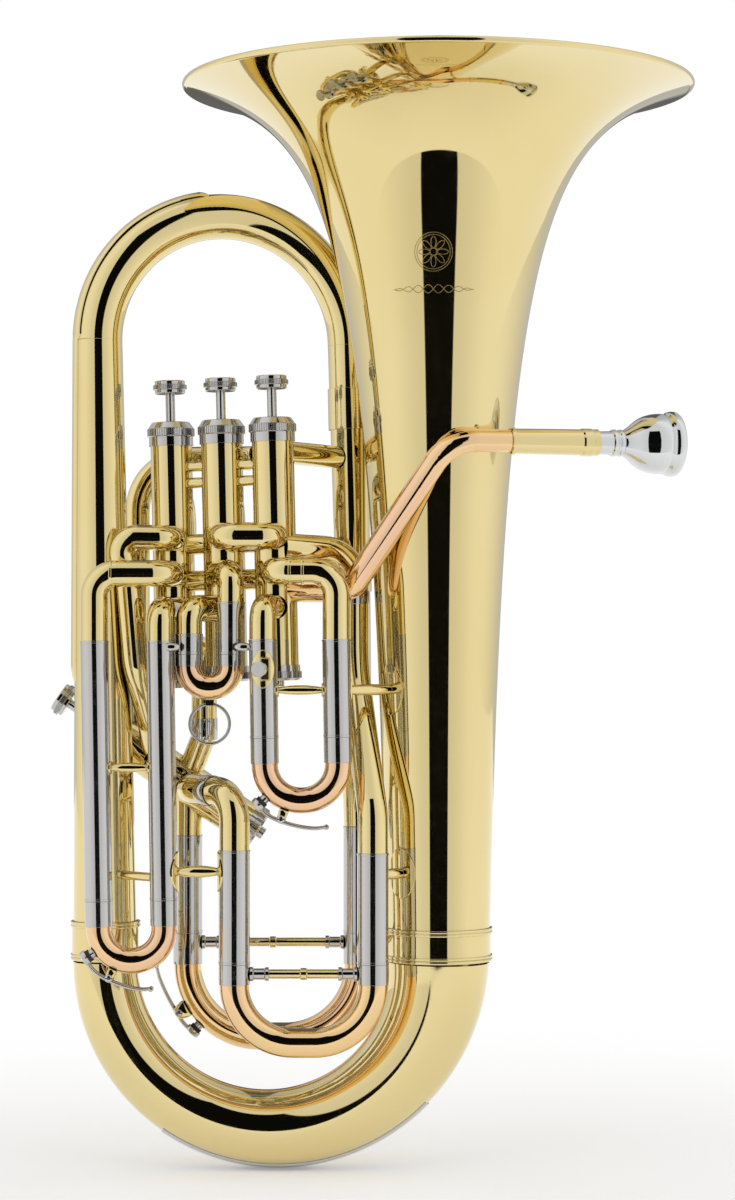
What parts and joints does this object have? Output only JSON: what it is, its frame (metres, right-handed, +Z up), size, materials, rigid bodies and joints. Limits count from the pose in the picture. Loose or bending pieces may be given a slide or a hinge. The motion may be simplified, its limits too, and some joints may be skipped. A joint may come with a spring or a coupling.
{
  "type": "euphonium",
  "caption": "Compensating euphonium with piston valves, a side valve, tuning slides that pull out, water keys, a leadpipe and a cup mouthpiece.",
  "frame": {"origin": "middle of the instrument's bounding box in X and Y, level with its lowest point under the bottom bow", "axes": "+Z up along the bell's axis, out of its mouth; +X from the hand side towards the bell; -Y is the side with the first, third and fourth slides"},
  "size_m": [0.3884, 0.3058, 0.6488],
  "materials": {
    "black_cork": "black synthetic cork",
    "nickel_silver": "nickel silver, polished",
    "rose_brass": "rose brass, clear lacquer",
    "silver_plate": "silver plate, polished",
    "spring_steel": "spring wire",
    "yellow_brass": "yellow brass, clear lacquer"
  },
  "bodies": {
    "root": {"bell": "yellow_brass", "bottom_bow": "yellow_brass", "left_branch": "yellow_brass", "top_bow": "yellow_brass", "right_branch": "yellow_brass", "body_ferrules": "yellow_brass", "bottom_guard": "nickel_silver", "hand_guard": "yellow_brass", "leadpipe": "rose_brass", "mouthpiece_receiver": "yellow_brass", "valve_casing_1": "yellow_brass", "valve_casing_2": "yellow_brass", "valve_casing_3": "yellow_brass", "valve_casing_4": "yellow_brass", "valve_top_caps": "nickel_silver", "valve_bottom_caps": "nickel_silver", "valve_knuckles": "yellow_brass", "crossover_tubes": "yellow_brass", "slide_elbows": "yellow_brass", "slide_sleeves": "nickel_silver", "comp_slide_sleeves": "nickel_silver", "braces": "yellow_brass", "lyre_holder": "yellow_brass", "lyre_screw": "nickel_silver", "valve_spring_1": "spring_steel", "valve_spring_2": "spring_steel", "valve_spring_3": "spring_steel", "valve_spring_4": "spring_steel"},
    "mouthpiece": {"mouthpiece": "silver_plate"},
    "main_slide": {"main_slide_crook": "rose_brass", "main_slide_legs": "nickel_silver", "main_slide_rod": "yellow_brass"},
    "first_slide": {"first_slide_crook": "rose_brass", "first_slide_legs": "nickel_silver"},
    "second_slide": {"second_slide_crook": "rose_brass", "second_slide_legs": "nickel_silver", "pull_ring": "nickel_silver"},
    "third_slide": {"third_slide_crook": "rose_brass", "third_slide_legs": "nickel_silver"},
    "fourth_slide": {"fourth_slide_crook": "rose_brass", "fourth_slide_legs": "nickel_silver", "fourth_slide_rod": "yellow_brass"},
    "comp_slide_1": {"comp_slide_1": "yellow_brass"},
    "comp_slide_2": {"comp_slide_2": "yellow_brass"},
    "comp_slide_3": {"comp_slide_3": "yellow_brass"},
    "valve_1": {"piston_1": "nickel_silver", "finger_button_1": "nickel_silver"},
    "valve_2": {"piston_2": "nickel_silver", "finger_button_2": "nickel_silver"},
    "valve_3": {"piston_3": "nickel_silver", "finger_button_3": "nickel_silver"},
    "valve_4": {"piston_4": "nickel_silver", "finger_button_4": "nickel_silver"},
    "third_key": {"third_water_key": "nickel_silver", "third_key_cork": "black_cork"},
    "first_key": {"first_water_key": "nickel_silver", "first_key_cork": "black_cork"},
    "main_key": {"main_water_key": "nickel_silver", "main_key_cork": "black_cork"}
  },
  "joints": [
    {"name": "mouthpiece_pull", "type": "slide", "parent": "root", "child": "mouthpiece", "axis": [0.9563, 0.2924, 0], "range_m": [0, 0.024]},
    {"name": "main_slide_pull", "type": "slide", "parent": "root", "child": "main_slide", "axis": [0, 0, -1], "range_m": [0, 0.04]},
    {"name": "first_slide_pull", "type": "slide", "parent": "root", "child": "first_slide", "axis": [0.0157, 0, -0.9999], "range_m": [0, 0.016]},
    {"name": "second_slide_pull", "type": "slide", "parent": "root", "child": "second_slide", "axis": [0, 0, -1], "range_m": [0, 0.007]},
    {"name": "third_slide_pull", "type": "slide", "parent": "root", "child": "third_slide", "axis": [0.0157, 0, -0.9999], "range_m": [0, 0.11]},
    {"name": "fourth_slide_pull", "type": "slide", "parent": "root", "child": "fourth_slide", "axis": [0, 0, -1], "range_m": [0, 0.045]},
    {"name": "comp_slide_1_pull", "type": "slide", "parent": "root", "child": "comp_slide_1", "axis": [0.0698, 0.9976, 0], "range_m": [0, 0.008]},
    {"name": "comp_slide_2_pull", "type": "slide", "parent": "root", "child": "comp_slide_2", "axis": [0.0698, 0.9976, 0], "range_m": [0, 0.008]},
    {"name": "comp_slide_3_pull", "type": "slide", "parent": "root", "child": "comp_slide_3", "axis": [0.0698, 0.9976, 0], "range_m": [0, 0.008]},
    {"name": "valve_1_press", "type": "slide", "parent": "root", "child": "valve_1", "axis": [0.0227, 0, -0.9997], "range_m": [0, 0.015], "deforming": ["valve_spring_1"]},
    {"name": "valve_2_press", "type": "slide", "parent": "root", "child": "valve_2", "axis": [0.0227, 0, -0.9997], "range_m": [0, 0.015], "deforming": ["valve_spring_2"]},
    {"name": "valve_3_press", "type": "slide", "parent": "root", "child": "valve_3", "axis": [0.0227, 0, -0.9997], "range_m": [0, 0.015], "deforming": ["valve_spring_3"]},
    {"name": "valve_4_press", "type": "slide", "parent": "root", "child": "valve_4", "axis": [0.829, 0, -0.5592], "range_m": [0, 0.015], "deforming": ["valve_spring_4"]},
    {"name": "third_key_hinge", "type": "hinge", "parent": "third_slide", "child": "third_key", "pos_m": [-0.15257, -0.036, 0.1177], "axis": [0, -1, 0], "range_deg": [0, 10]},
    {"name": "first_key_hinge", "type": "hinge", "parent": "first_slide", "child": "first_key", "pos_m": [-0.05148, -0.042, 0.21136], "axis": [0, -1, 0], "range_deg": [0, 10]},
    {"name": "main_key_hinge", "type": "hinge", "parent": "main_slide", "child": "main_key", "pos_m": [-0.11595, 0.04, 0.08836], "axis": [0, 1, 0], "range_deg": [0, 10]}
  ]
}
